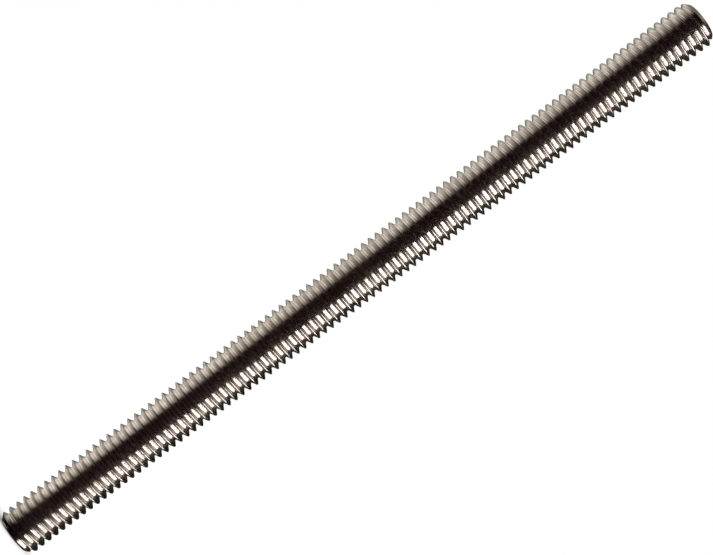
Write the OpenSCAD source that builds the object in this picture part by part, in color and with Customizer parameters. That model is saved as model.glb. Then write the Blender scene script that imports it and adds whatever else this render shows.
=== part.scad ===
// Threaded rod: one turned and thread-rolled bar, standing on its lower end.
// Millimetres. The origin is the middle of the lower end face and +Z is the rod's axis.
// The thread has the true ISO metric section. Here it is cut as rings one pitch apart,
// so that every crest is a full circle at the major diameter.

/* [Rod] */
// Length over the two end faces
rod_length = 100; // [20:5:200]
// Diameter over the thread's crests
major_diameter = 6; // [4:0.5:12]

/* [Thread] */
// Distance from one crest to the next
pitch = 1; // [0.5:0.05:1.75]
// Angle between the two flanks of a groove
flank_angle = 60; // [55:1:65]

/* [Ends] */
// Length of the chamfer at each end, along the axis
chamfer_length = 0.7; // [0.3:0.1:1.5]
// Angle between the chamfer and the axis
chamfer_angle = 45; // [30:5:45]

/* [Hidden] */

steel = [0.72, 0.70, 0.66];
major_r = major_diameter / 2;
// Height of the sharp triangle that the flanks would make
sharp_height = pitch / (2 * tan(flank_angle / 2));
// Shares of that triangle cut off as the flat at the crest and at the root
crest_cut = 1 / 8;
root_cut = 0.1665;
crest_flat = crest_cut * pitch;
root_flat = root_cut * pitch;
thread_depth = (1 - crest_cut - root_cut) * sharp_height;
root_r = major_r - thread_depth;
face_r = major_r - chamfer_length * tan(chamfer_angle);
// One groove for each pitch of length, the first half a pitch above the lower end
groove_count = ceil(rod_length / pitch);

// Half section of the plain bar with its chamfered ends
module bar_section() {
    polygon([
        [0, 0],
        [face_r, 0],
        [major_r, chamfer_length],
        [major_r, rod_length - chamfer_length],
        [face_r, rod_length],
        [0, rod_length]
    ]);
}

// Section of one groove, its mouth a little outside the crests
module groove_section() {
    mouth = 0.1 * pitch;
    mouth_half = (pitch - crest_flat) / 2 + mouth * tan(flank_angle / 2);
    polygon([
        [root_r, -root_flat / 2],
        [major_r + mouth, -mouth_half],
        [major_r + mouth, mouth_half],
        [root_r, root_flat / 2]
    ]);
}

module rod() {
    color(steel)
        rotate_extrude($fn = 96)
            difference() {
                bar_section();
                for (i = [0 : groove_count - 1])
                    translate([0, (i + 0.5) * pitch])
                        groove_section();
            }
}

rod();
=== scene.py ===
import math

import bmesh
import bpy
from mathutils import Matrix, Vector, noise

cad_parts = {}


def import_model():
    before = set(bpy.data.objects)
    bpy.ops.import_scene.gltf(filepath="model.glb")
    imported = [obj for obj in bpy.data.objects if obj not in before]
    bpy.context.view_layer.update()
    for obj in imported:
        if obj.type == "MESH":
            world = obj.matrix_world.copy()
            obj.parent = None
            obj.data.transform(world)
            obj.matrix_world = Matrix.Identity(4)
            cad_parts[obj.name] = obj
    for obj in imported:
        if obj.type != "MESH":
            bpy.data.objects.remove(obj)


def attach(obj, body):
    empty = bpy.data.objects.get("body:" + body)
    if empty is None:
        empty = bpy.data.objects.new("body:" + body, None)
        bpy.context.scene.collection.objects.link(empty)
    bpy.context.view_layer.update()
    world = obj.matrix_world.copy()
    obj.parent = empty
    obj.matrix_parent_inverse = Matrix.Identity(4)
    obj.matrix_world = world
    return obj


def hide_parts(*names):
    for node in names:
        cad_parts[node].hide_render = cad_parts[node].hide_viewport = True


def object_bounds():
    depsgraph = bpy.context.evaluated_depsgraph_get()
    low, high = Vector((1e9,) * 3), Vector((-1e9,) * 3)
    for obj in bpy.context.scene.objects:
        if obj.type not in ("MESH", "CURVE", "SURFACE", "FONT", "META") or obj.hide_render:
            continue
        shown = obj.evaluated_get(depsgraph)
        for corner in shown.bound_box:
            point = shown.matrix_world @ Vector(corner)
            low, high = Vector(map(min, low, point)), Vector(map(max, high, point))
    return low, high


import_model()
cad_low, cad_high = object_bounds()

# ---------------------------------------------------------------------------
# Driving sizes, in metres. Length and diameter come from the frame.
# ---------------------------------------------------------------------------
MM = 0.001

ROD_LENGTH = cad_high.z - cad_low.z
CREST_R = min(cad_high.x - cad_low.x, cad_high.y - cad_low.y) / 2
PITCH = 1.0 * MM
CHAMFER = 0.7 * MM
FACE_R = CREST_R - CHAMFER

# ISO thread: flanks 30 degrees off square to the axis, so each turns 60 degrees down from the crest,
# a crest flat of P/8 before its corners are rounded, and a root rounded to 0.14434 P
FLANK_SLOPE = math.tan(math.radians(30))
FLANK_TURN = math.radians(60)
CREST_FLAT = PITCH / 8
CREST_ROUND = 0.085 * MM
ROOT_ROUND = 0.14434 * PITCH
APEX_DEPTH = (PITCH - CREST_FLAT) / 2 / FLANK_SLOPE
ROOT_R = CREST_R - (APEX_DEPTH - ROOT_ROUND)

# Where the thread starts: on the +X side, a crest stands this far above the lower face
THREAD_START = 0.06 * PITCH

# Wear of the crests, in millimetres: how close together its lumps and dents lie, and how deep they go.
# A dent is where its noise rises above DENT_FROM, so most of the rod has none.
LUMPS_PER_MM = 0.9
LUMP_DEPTH = 0.012
DENTS_PER_MM = 1.7
DENT_DEPTH = 0.14
DENT_FROM = 0.52
DENT_OFFSET = Vector((31.0, 7.0, 3.0))

# Steps of the mesh: in one turn of the thread, in each rounded corner, and round the blank
TURN_SEGMENTS = 48
ARC_STEPS = 3
BLANK_SEGMENTS = 144
# Turns of the screw past each end of the rod, which the blank cuts off
EXTRA_TURNS = 2
# Edges that turn more than this stay sharp
SHARP_ANGLE = math.radians(35)


# ---------------------------------------------------------------------------
# The rod
# ---------------------------------------------------------------------------
def thread_profile():
    """One pitch of the thread as (offset along the axis, radius) points, from a crest up to the next one.

    The first point of the next crest is left out, because the next turn of the helix starts with it.
    """
    half = []
    corner_z = CREST_FLAT / 2 - CREST_ROUND * math.tan(FLANK_TURN / 2)
    for step in range(ARC_STEPS + 1):
        turn = FLANK_TURN * step / ARC_STEPS
        half.append((corner_z + CREST_ROUND * math.sin(turn), CREST_R - CREST_ROUND * (1 - math.cos(turn))))
    for step in range(ARC_STEPS + 1):
        turn = FLANK_TURN * (1 - step / ARC_STEPS)
        half.append((PITCH / 2 - ROOT_ROUND * math.sin(turn), ROOT_R + ROOT_ROUND * (1 - math.cos(turn))))
    other = [(PITCH - z, r) for z, r in reversed(half[:-1])]
    return half + other


def crest_wear(r, angle, z):
    """How far the metal lies below its true radius: an uneven top on the crests, and a few small dents."""
    share = (r - (CREST_R - 2 * CREST_ROUND)) / (2 * CREST_ROUND)
    if share <= 0:
        return 0.0
    spot = Vector((math.cos(angle) * CREST_R, math.sin(angle) * CREST_R, z)) / MM
    uneven = 0.5 + 0.5 * noise.noise(spot * LUMPS_PER_MM)
    dent = max(0.0, noise.noise(spot * DENTS_PER_MM + DENT_OFFSET) - DENT_FROM)
    return share * (LUMP_DEPTH * uneven + DENT_DEPTH * dent) * MM


def screw_body():
    """A closed right-handed screw, longer than the rod at both ends."""
    profile = thread_profile()
    turns = round(ROD_LENGTH / PITCH) + 2 * EXTRA_TURNS
    columns = turns * TURN_SEGMENTS + 1
    bm = bmesh.new()
    grid = []
    for i in range(columns):
        angle = 2 * math.pi * i / TURN_SEGMENTS
        rise = cad_low.z + (i / TURN_SEGMENTS - EXTRA_TURNS) * PITCH + THREAD_START
        column = []
        for z, r in profile:
            worn = r - crest_wear(r, angle, rise + z)
            column.append(bm.verts.new((worn * math.cos(angle), worn * math.sin(angle), rise + z)))
        grid.append(column)

    def vert(i, j):
        """A point of the grid. Past the end of the profile it is the first point one turn further on."""
        return grid[i][j] if j < len(profile) else grid[i + TURN_SEGMENTS][0]

    for i in range(columns - 1):
        rows = len(profile) if i + 1 + TURN_SEGMENTS < columns else len(profile) - 1
        for j in range(rows):
            bm.faces.new((vert(i, j), vert(i + 1, j), vert(i + 1, j + 1), vert(i, j + 1)))
    for loop in open_loops(bm):
        close_with_fan(bm, loop)
    bmesh.ops.recalc_face_normals(bm, faces=bm.faces)
    return mesh_object("screw_body", bm)


def open_loops(bm):
    """The boundary edges, grouped into their closed loops."""
    left = {e for e in bm.edges if e.is_boundary}
    loops = []
    while left:
        edge = left.pop()
        loop = [edge]
        reach = [edge]
        while reach:
            for v in reach.pop().verts:
                for e in v.link_edges:
                    if e in left:
                        left.discard(e)
                        loop.append(e)
                        reach.append(e)
        loops.append(loop)
    return loops


def close_with_fan(bm, loop):
    """Close a loop of edges with triangles to one new point on the axis."""
    heights = [v.co.z for e in loop for v in e.verts]
    centre = bm.verts.new((0, 0, (min(heights) + max(heights)) / 2))
    for e in loop:
        bm.faces.new((e.verts[0], e.verts[1], centre))


def mesh_object(name, bm):
    mesh = bpy.data.meshes.new(name)
    bm.to_mesh(mesh)
    bm.free()
    obj = bpy.data.objects.new(name, mesh)
    bpy.context.scene.collection.objects.link(obj)
    return obj


def blank_body():
    """The chamfered bar that the screw is cut to, with room round its crests."""
    room = 0.3 * MM
    section = [
        (0.0, 0.0),
        (FACE_R, 0.0),
        (CREST_R + room, CHAMFER + room),
        (CREST_R + room, ROD_LENGTH - CHAMFER - room),
        (FACE_R, ROD_LENGTH),
        (0.0, ROD_LENGTH),
    ]
    bm = bmesh.new()
    rings = []
    for r, z in section:
        if r == 0.0:
            rings.append([bm.verts.new((0, 0, cad_low.z + z))])
            continue
        ring = []
        for i in range(BLANK_SEGMENTS):
            angle = 2 * math.pi * i / BLANK_SEGMENTS
            ring.append(bm.verts.new((r * math.cos(angle), r * math.sin(angle), cad_low.z + z)))
        rings.append(ring)
    for below, above in zip(rings, rings[1:]):
        for i in range(BLANK_SEGMENTS):
            k = (i + 1) % BLANK_SEGMENTS
            if len(below) == 1:
                bm.faces.new((below[0], above[k], above[i]))
            elif len(above) == 1:
                bm.faces.new((below[i], below[k], above[0]))
            else:
                bm.faces.new((below[i], below[k], above[k], above[i]))
    bmesh.ops.recalc_face_normals(bm, faces=bm.faces)
    return mesh_object("blank_body", bm)


def threaded_rod():
    """The screw cut to the blank: its thread runs out through the chamfers, and its ends get their steel."""
    rod = screw_body()
    rod.name = "threaded_rod"
    rod.data.materials.append(thread_steel())
    blank = blank_body()
    blank.data.materials.append(cut_end_steel())
    cut = rod.modifiers.new("cut_to_blank", "BOOLEAN")
    cut.operation = "INTERSECT"
    cut.solver = "EXACT"
    cut.material_mode = "TRANSFER"
    cut.object = blank
    apply_modifiers(rod)
    bpy.data.objects.remove(blank)
    rod.data.shade_smooth()
    rod.data.set_sharp_from_angle(angle=SHARP_ANGLE)
    weigh = rod.modifiers.new("even_normals", "WEIGHTED_NORMAL")
    weigh.keep_sharp = True
    apply_modifiers(rod)
    return rod


def apply_modifiers(obj):
    evaluated = obj.evaluated_get(bpy.context.evaluated_depsgraph_get())
    mesh = bpy.data.meshes.new_from_object(evaluated)
    obj.modifiers.clear()
    obj.data = mesh


# ---------------------------------------------------------------------------
# Materials: object coordinates are the frame's own, so radius and height are real
# ---------------------------------------------------------------------------
def feed(tree, value, socket):
    """Plug in an output socket, or write a plain number or colour."""
    if isinstance(value, bpy.types.NodeSocket):
        tree.links.new(value, socket)
    else:
        socket.default_value = value


def calc(tree, operation, *values):
    node = tree.nodes.new("ShaderNodeMath")
    node.operation = operation
    for value, socket in zip(values, node.inputs):
        feed(tree, value, socket)
    return node.outputs[0]


def ramp(tree, value, low, high, to_low=0.0, to_high=1.0):
    """Smooth change from to_low to to_high while value goes from low to high."""
    node = tree.nodes.new("ShaderNodeMapRange")
    node.interpolation_type = "SMOOTHSTEP"
    for x, socket in zip((value, low, high, to_low, to_high), node.inputs):
        feed(tree, x, socket)
    return node.outputs[0]


def blend(tree, amount, first, second):
    node = tree.nodes.new("ShaderNodeMix")
    node.data_type = "RGBA"
    feed(tree, amount, node.inputs["Factor"])
    feed(tree, first, node.inputs["A"])
    feed(tree, second, node.inputs["B"])
    return node.outputs["Result"]


def place(tree):
    """Object coordinates split up: (vector, x, y, z, radius from the axis)."""
    point = tree.nodes.new("ShaderNodeTexCoord").outputs["Object"]
    apart = tree.nodes.new("ShaderNodeSeparateXYZ")
    tree.links.new(point, apart.inputs[0])
    x, y, z = apart.outputs
    radius = calc(tree, "SQRT", calc(tree, "ADD", calc(tree, "MULTIPLY", x, x), calc(tree, "MULTIPLY", y, y)))
    return point, x, y, z, radius


def mottle(tree, vector, per_metre, detail=3.0, roughness=0.55):
    """Cloudy noise with about per_metre cells to a metre."""
    node = tree.nodes.new("ShaderNodeTexNoise")
    tree.links.new(vector, node.inputs["Vector"])
    node.inputs["Scale"].default_value = per_metre
    node.inputs["Detail"].default_value = detail
    node.inputs["Roughness"].default_value = roughness
    return node.outputs["Fac"]


def streaks(tree, x, y, z, radius, around, across, along):
    """Noise drawn out round the axis: lines that keep their radius and drift slowly along the rod."""
    joined = tree.nodes.new("ShaderNodeCombineXYZ")
    feed(tree, calc(tree, "MULTIPLY", x, around), joined.inputs[0])
    feed(tree, calc(tree, "MULTIPLY", y, around), joined.inputs[1])
    depth = calc(tree, "ADD", calc(tree, "MULTIPLY", radius, across), calc(tree, "MULTIPLY", z, along))
    feed(tree, depth, joined.inputs[2])
    return mottle(tree, joined.outputs[0], per_metre=1.0, detail=2.0)


def new_material(name):
    mat = bpy.data.materials.new(name)
    mat.use_nodes = True
    return mat


def make_metal(mat, colour, roughness, height, depth):
    """Finish mat as a bare metal, with a relief of depth metres from a height socket."""
    tree = mat.node_tree
    shader = tree.nodes["Principled BSDF"]
    shader.inputs["Metallic"].default_value = 1.0
    feed(tree, colour, shader.inputs["Base Color"])
    feed(tree, roughness, shader.inputs["Roughness"])
    bump = tree.nodes.new("ShaderNodeBump")
    bump.inputs["Strength"].default_value = 1.0
    bump.inputs["Distance"].default_value = depth
    feed(tree, height, bump.inputs["Height"])
    tree.links.new(bump.outputs[0], shader.inputs["Normal"])


STEEL = (0.80, 0.757, 0.730, 1)
STEEL_PALE = (0.84, 0.80, 0.775, 1)
STEEL_DULL = (0.66, 0.61, 0.57, 1)
# Crest colour: a painted dark reflection, far darker than the steel of the flanks
STEEL_CREST_PAINTED_DARK = (0.34, 0.305, 0.28, 1)
STEEL_STAIN = (0.60, 0.53, 0.47, 1)
STEEL_END = (0.50, 0.455, 0.415, 1)

# Shares of the thread's height over which the crests' painted dark reflection and duller finish set in, and
# over which the root's stain ends
CREST_ZONE = (0.82, 0.96)
ROOT_ZONE = (0.0, 0.25)

# Roughness of the flanks where they are hazy and where they are bright, and what specks and crests add to it
FLANK_HAZY = 0.19
FLANK_BRIGHT = 0.13
SPECK_ROUGH = 0.05
CREST_ROUGH = 0.08
# Roughness of the faced ends at their smoothest and at their roughest
END_SMOOTH = 0.28
END_ROUGH = 0.42

# Depth of the lines drawn along the flanks, and of the tool's rings on the ends
LINE_DEPTH = 0.003 * MM
RING_DEPTH = 0.006 * MM


def thread_steel():
    """Rolled thread: bright flanks with lines drawn along them, rougher crests with a painted dark
    reflection, and stains in the roots.
    """
    mat = new_material("thread_steel")
    tree = mat.node_tree
    point, x, y, z, radius = place(tree)
    height = ramp(tree, radius, ROOT_R, CREST_R)
    patches = mottle(tree, point, per_metre=260.0)
    specks = mottle(tree, point, per_metre=1500.0, detail=2.0)
    lines = streaks(tree, x, y, z, radius, around=420.0, across=9000.0, along=700.0)

    plain = blend(tree, ramp(tree, patches, 0.36, 0.64), STEEL_DULL, STEEL)
    drawn = blend(tree, ramp(tree, lines, 0.35, 0.75, to_high=0.35), plain, STEEL_PALE)
    # The crest mask darkens the colour, a painted dark reflection, and adds roughness for a duller finish
    top = ramp(tree, height, *CREST_ZONE)
    crest = calc(tree, "MULTIPLY", top, ramp(tree, specks, 0.35, 0.65, 1.0, 0.7))
    crest_painted_dark = blend(tree, crest, drawn, STEEL_CREST_PAINTED_DARK)
    root = ramp(tree, height, *ROOT_ZONE, 1.0, 0.0)
    soiled = calc(tree, "MULTIPLY", root, ramp(tree, specks, 0.30, 0.62, 0.10, 0.60))
    colour = blend(tree, soiled, crest_painted_dark, STEEL_STAIN)

    wear = ramp(tree, patches, 0.34, 0.66, FLANK_HAZY, FLANK_BRIGHT)
    scuffs = ramp(tree, specks, 0.35, 0.70, to_high=SPECK_ROUGH)
    dulled = calc(tree, "MULTIPLY", crest, CREST_ROUGH)
    roughness = calc(tree, "ADD", calc(tree, "ADD", wear, scuffs), dulled)

    relief = calc(tree, "ADD", lines, calc(tree, "MULTIPLY", specks, 0.6))
    make_metal(mat, colour, roughness, relief, LINE_DEPTH)
    return mat


def cut_end_steel():
    """Ends faced on a lathe: rings left by the tool, with a slightly duller, uneven skin."""
    mat = new_material("cut_end_steel")
    tree = mat.node_tree
    point, x, y, z, radius = place(tree)
    patches = mottle(tree, point, per_metre=420.0)
    rings = streaks(tree, x, y, z, radius, around=90.0, across=14000.0, along=9000.0)
    colour = blend(tree, ramp(tree, rings, 0.35, 0.70), STEEL_STAIN, STEEL_DULL)
    dulled = blend(tree, ramp(tree, patches, 0.45, 0.75, to_high=0.6), colour, STEEL_END)
    roughness = ramp(tree, patches, 0.35, 0.70, END_SMOOTH, END_ROUGH)
    make_metal(mat, dulled, roughness, rings, RING_DEPTH)
    return mat


# ---------------------------------------------------------------------------
# Camera and studio
# ---------------------------------------------------------------------------
CENTRE = (cad_low + cad_high) / 2
CAMERA_DISTANCE = 250 * MM
CAMERA_LEAN = math.radians(1.5)
CAMERA_ROLL = math.radians(53.12)
SENSOR_WIDTH = 36.0
# Share of the picture's width that the rod's length would take if it lay level
ROD_SPAN = 1.2178
# Lens shift, in shares of the picture's width: the rod lies a little to the right of the middle, and above it
FRAME_SHIFT = (-0.0036, -0.0011)

# The screen that the rod reflects
SCREEN_R = 400 * MM
SCREEN_TOP = 500 * MM
SCREEN_STEPS = 48
# Distances from the axis between which the dark foot, a painted shadow of the rod, ends, and between which
# the roof's bright middle ends
FOOT_EDGE = (4 * MM, 12 * MM)
ROOF_EDGE = (48 * MM, 80 * MM)
# Heights between which the wall fades, and between which the floor and wall give way to the roof
WALL_FADE = (0.0, 200 * MM)
ROOF_START = (450 * MM, SCREEN_TOP)
# Heights between which the dark foot, a painted shadow of the rod, gives way to the roof's middle, above it
FOOT_TO_ROOF = (100 * MM, 450 * MM)

# Strength of its light: at the rod's foot, where it is a painted shadow, on the floor and low wall, high up
# the wall, in the roof's middle, and on the roof round that
FOOT_SHADOW_GLOW = 0.05
FLOOR_GLOW = 1.25
WALL_GLOW = 0.56
ROOF_GLOW = 1.5
RING_GLOW = 0.3
# Share of white in the colour of the roof's middle
ROOF_WHITE = 0.85

# Its colours, and the angles that they stand at, in degrees from the camera's side towards +X
DIM = (0.11, 0.105, 0.09)
BACK = (0.80, 0.79, 0.74)
PALE = (0.97, 0.93, 0.86)
GREY = (0.60, 0.57, 0.51)
DARK = (0.011, 0.003, 0.003)
SIDE = (0.36, 0.335, 0.315)
OLIVE = (0.024, 0.021, 0.013)
SCREEN_SHADES = (
    (-180, DIM),
    (-169, DIM),
    (-145, BACK),
    (-130, BACK),
    (-112, PALE),
    (-97, PALE),
    (-77, GREY),
    (-54, DARK),
    (42, DARK),
    (76, SIDE),
    (98, SIDE),
    (109, OLIVE),
    (180, OLIVE),
)

LAMP_COLOUR = (1.0, 0.965, 0.945)
WHITE = (1, 1, 1, 1)
# How far the floor reaches each way from the rod, in metres
FLOOR_REACH = 4.0


def camera():
    data = bpy.data.cameras.new("camera")
    data.sensor_width = SENSOR_WIDTH
    data.lens = ROD_SPAN * SENSOR_WIDTH * (CAMERA_DISTANCE - CREST_R) / ROD_LENGTH
    data.shift_x, data.shift_y = FRAME_SHIFT
    data.clip_start = 0.01
    data.clip_end = 20
    cam = bpy.data.objects.new("camera", data)
    bpy.context.scene.collection.objects.link(cam)
    upright = Matrix.Rotation(math.radians(90), 4, "X")
    cam.matrix_world = (
        Matrix.Translation(CENTRE)
        @ Matrix.Rotation(CAMERA_LEAN, 4, "X")
        @ Matrix.Translation((0, -CAMERA_DISTANCE, 0))
        @ upright
        @ Matrix.Rotation(CAMERA_ROLL, 4, "Z")
    )
    bpy.context.scene.camera = cam


def direction(degrees, rise=0.0):
    """Direction from the rod, in degrees round from the camera's side towards +X, and in degrees of rise."""
    a = math.radians(degrees)
    e = math.radians(rise)
    return Vector((math.sin(a) * math.cos(e), -math.cos(a) * math.cos(e), math.sin(e)))


def surround():
    """A closed screen round the rod that only reflections see: a floor, a wall and a roof, round the axis."""
    # A pinhole at the axis, and a hair's breadth off the floor
    hole = 0.01 * MM
    foot = 0.02 * MM
    section = ((hole, foot), (SCREEN_R, foot), (SCREEN_R, SCREEN_TOP), (hole, SCREEN_TOP))
    start, end = SCREEN_SHADES[0][0], SCREEN_SHADES[-1][0]
    bm = bmesh.new()
    columns = []
    for i in range(SCREEN_STEPS + 1):
        out = direction(start + (end - start) * i / SCREEN_STEPS)
        columns.append([bm.verts.new((out.x * r, out.y * r, cad_low.z + z)) for r, z in section])
    for a, b in zip(columns, columns[1:]):
        for j in range(len(section) - 1):
            bm.faces.new((a[j], b[j], b[j + 1], a[j + 1]))
    obj = mesh_object("surround", bm)
    obj.data.materials.append(screen_light())
    obj.visible_camera = False
    obj.visible_diffuse = False
    obj.visible_transmission = False
    obj.visible_volume_scatter = False
    obj.visible_shadow = False


def screen_light():
    """The screen's light: its colour goes by the angle round the axis, its strength by height and distance.

    The wall fades upwards. The roof is bright in the middle and dim round that. The floor is dark at the
    rod's foot: a painted shadow of the rod, where its own shadow would lie.
    """
    mat = new_material("surround")
    tree = mat.node_tree
    tree.nodes.clear()
    x, y, z, distance = place(tree)[1:]

    start, end = SCREEN_SHADES[0][0], SCREEN_SHADES[-1][0]
    turn = calc(tree, "ARCTAN2", x, calc(tree, "MULTIPLY", y, -1.0))
    share = calc(tree, "DIVIDE", calc(tree, "SUBTRACT", turn, math.radians(start)), math.radians(end - start))
    grade = tree.nodes.new("ShaderNodeValToRGB")
    stops = grade.color_ramp.elements
    while len(stops) < len(SCREEN_SHADES):
        stops.new(0.5)
    for stop, (degrees, shade) in zip(stops, SCREEN_SHADES):
        stop.position = (degrees - start) / (end - start)
        stop.color = (*shade, 1)
    feed(tree, share, grade.inputs["Fac"])

    glow = tree.nodes.new("ShaderNodeEmission")
    white = ramp(tree, z, *ROOF_START, 0.0, ramp(tree, distance, *ROOF_EDGE, ROOF_WHITE, 0.0))
    feed(tree, blend(tree, white, grade.outputs["Color"], WHITE), glow.inputs["Color"])
    near = ramp(tree, z, *FOOT_TO_ROOF, FOOT_SHADOW_GLOW, ROOF_GLOW)
    wall = ramp(tree, z, *WALL_FADE, FLOOR_GLOW, WALL_GLOW)
    roof = ramp(tree, distance, *ROOF_EDGE, ROOF_GLOW, RING_GLOW)
    far = ramp(tree, z, *ROOF_START, wall, roof)
    feed(tree, ramp(tree, distance, *FOOT_EDGE, near, far), glow.inputs["Strength"])
    out = tree.nodes.new("ShaderNodeOutputMaterial")
    tree.links.new(glow.outputs[0], out.inputs["Surface"])
    return mat


def lamp(name, degrees, rise, distance, width, height, radiance):
    """A soft lamp that faces the rod's middle."""
    data = bpy.data.lights.new(name, "AREA")
    data.color = LAMP_COLOUR
    data.shape = "RECTANGLE"
    data.size = width
    data.size_y = height
    data.energy = radiance * math.pi * width * height
    obj = bpy.data.objects.new(name, data)
    bpy.context.scene.collection.objects.link(obj)
    out = direction(degrees, rise)
    obj.location = CENTRE + out * distance
    obj.rotation_mode = "QUATERNION"
    obj.rotation_quaternion = out.to_track_quat("Z", "Y")


def world():
    scene = bpy.context.scene
    scene.world = bpy.data.worlds.new("studio")
    scene.world.use_nodes = True
    back = scene.world.node_tree.nodes["Background"]
    back.inputs["Color"].default_value = WHITE
    back.inputs["Strength"].default_value = 1.0


def floor():
    bm = bmesh.new()
    corners = ((-1, -1), (1, -1), (1, 1), (-1, 1))
    bm.faces.new([bm.verts.new((x * FLOOR_REACH, y * FLOOR_REACH, cad_low.z)) for x, y in corners])
    obj = mesh_object("floor", bm)
    mat = new_material("floor")
    nodes = mat.node_tree.nodes
    nodes.clear()
    matt = nodes.new("ShaderNodeBsdfDiffuse")
    matt.inputs["Color"].default_value = WHITE
    out = nodes.new("ShaderNodeOutputMaterial")
    mat.node_tree.links.new(matt.outputs[0], out.inputs["Surface"])
    obj.data.materials.append(mat)


# ---------------------------------------------------------------------------
# The scene
# ---------------------------------------------------------------------------
rod = threaded_rod()
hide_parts("rod")
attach(rod, "root")

floor()
world()
camera()
surround()
lamp("key", degrees=70, rise=3, distance=300 * MM, width=420 * MM, height=130 * MM, radiance=8.0)

bpy.context.scene.view_settings.view_transform = "Standard"
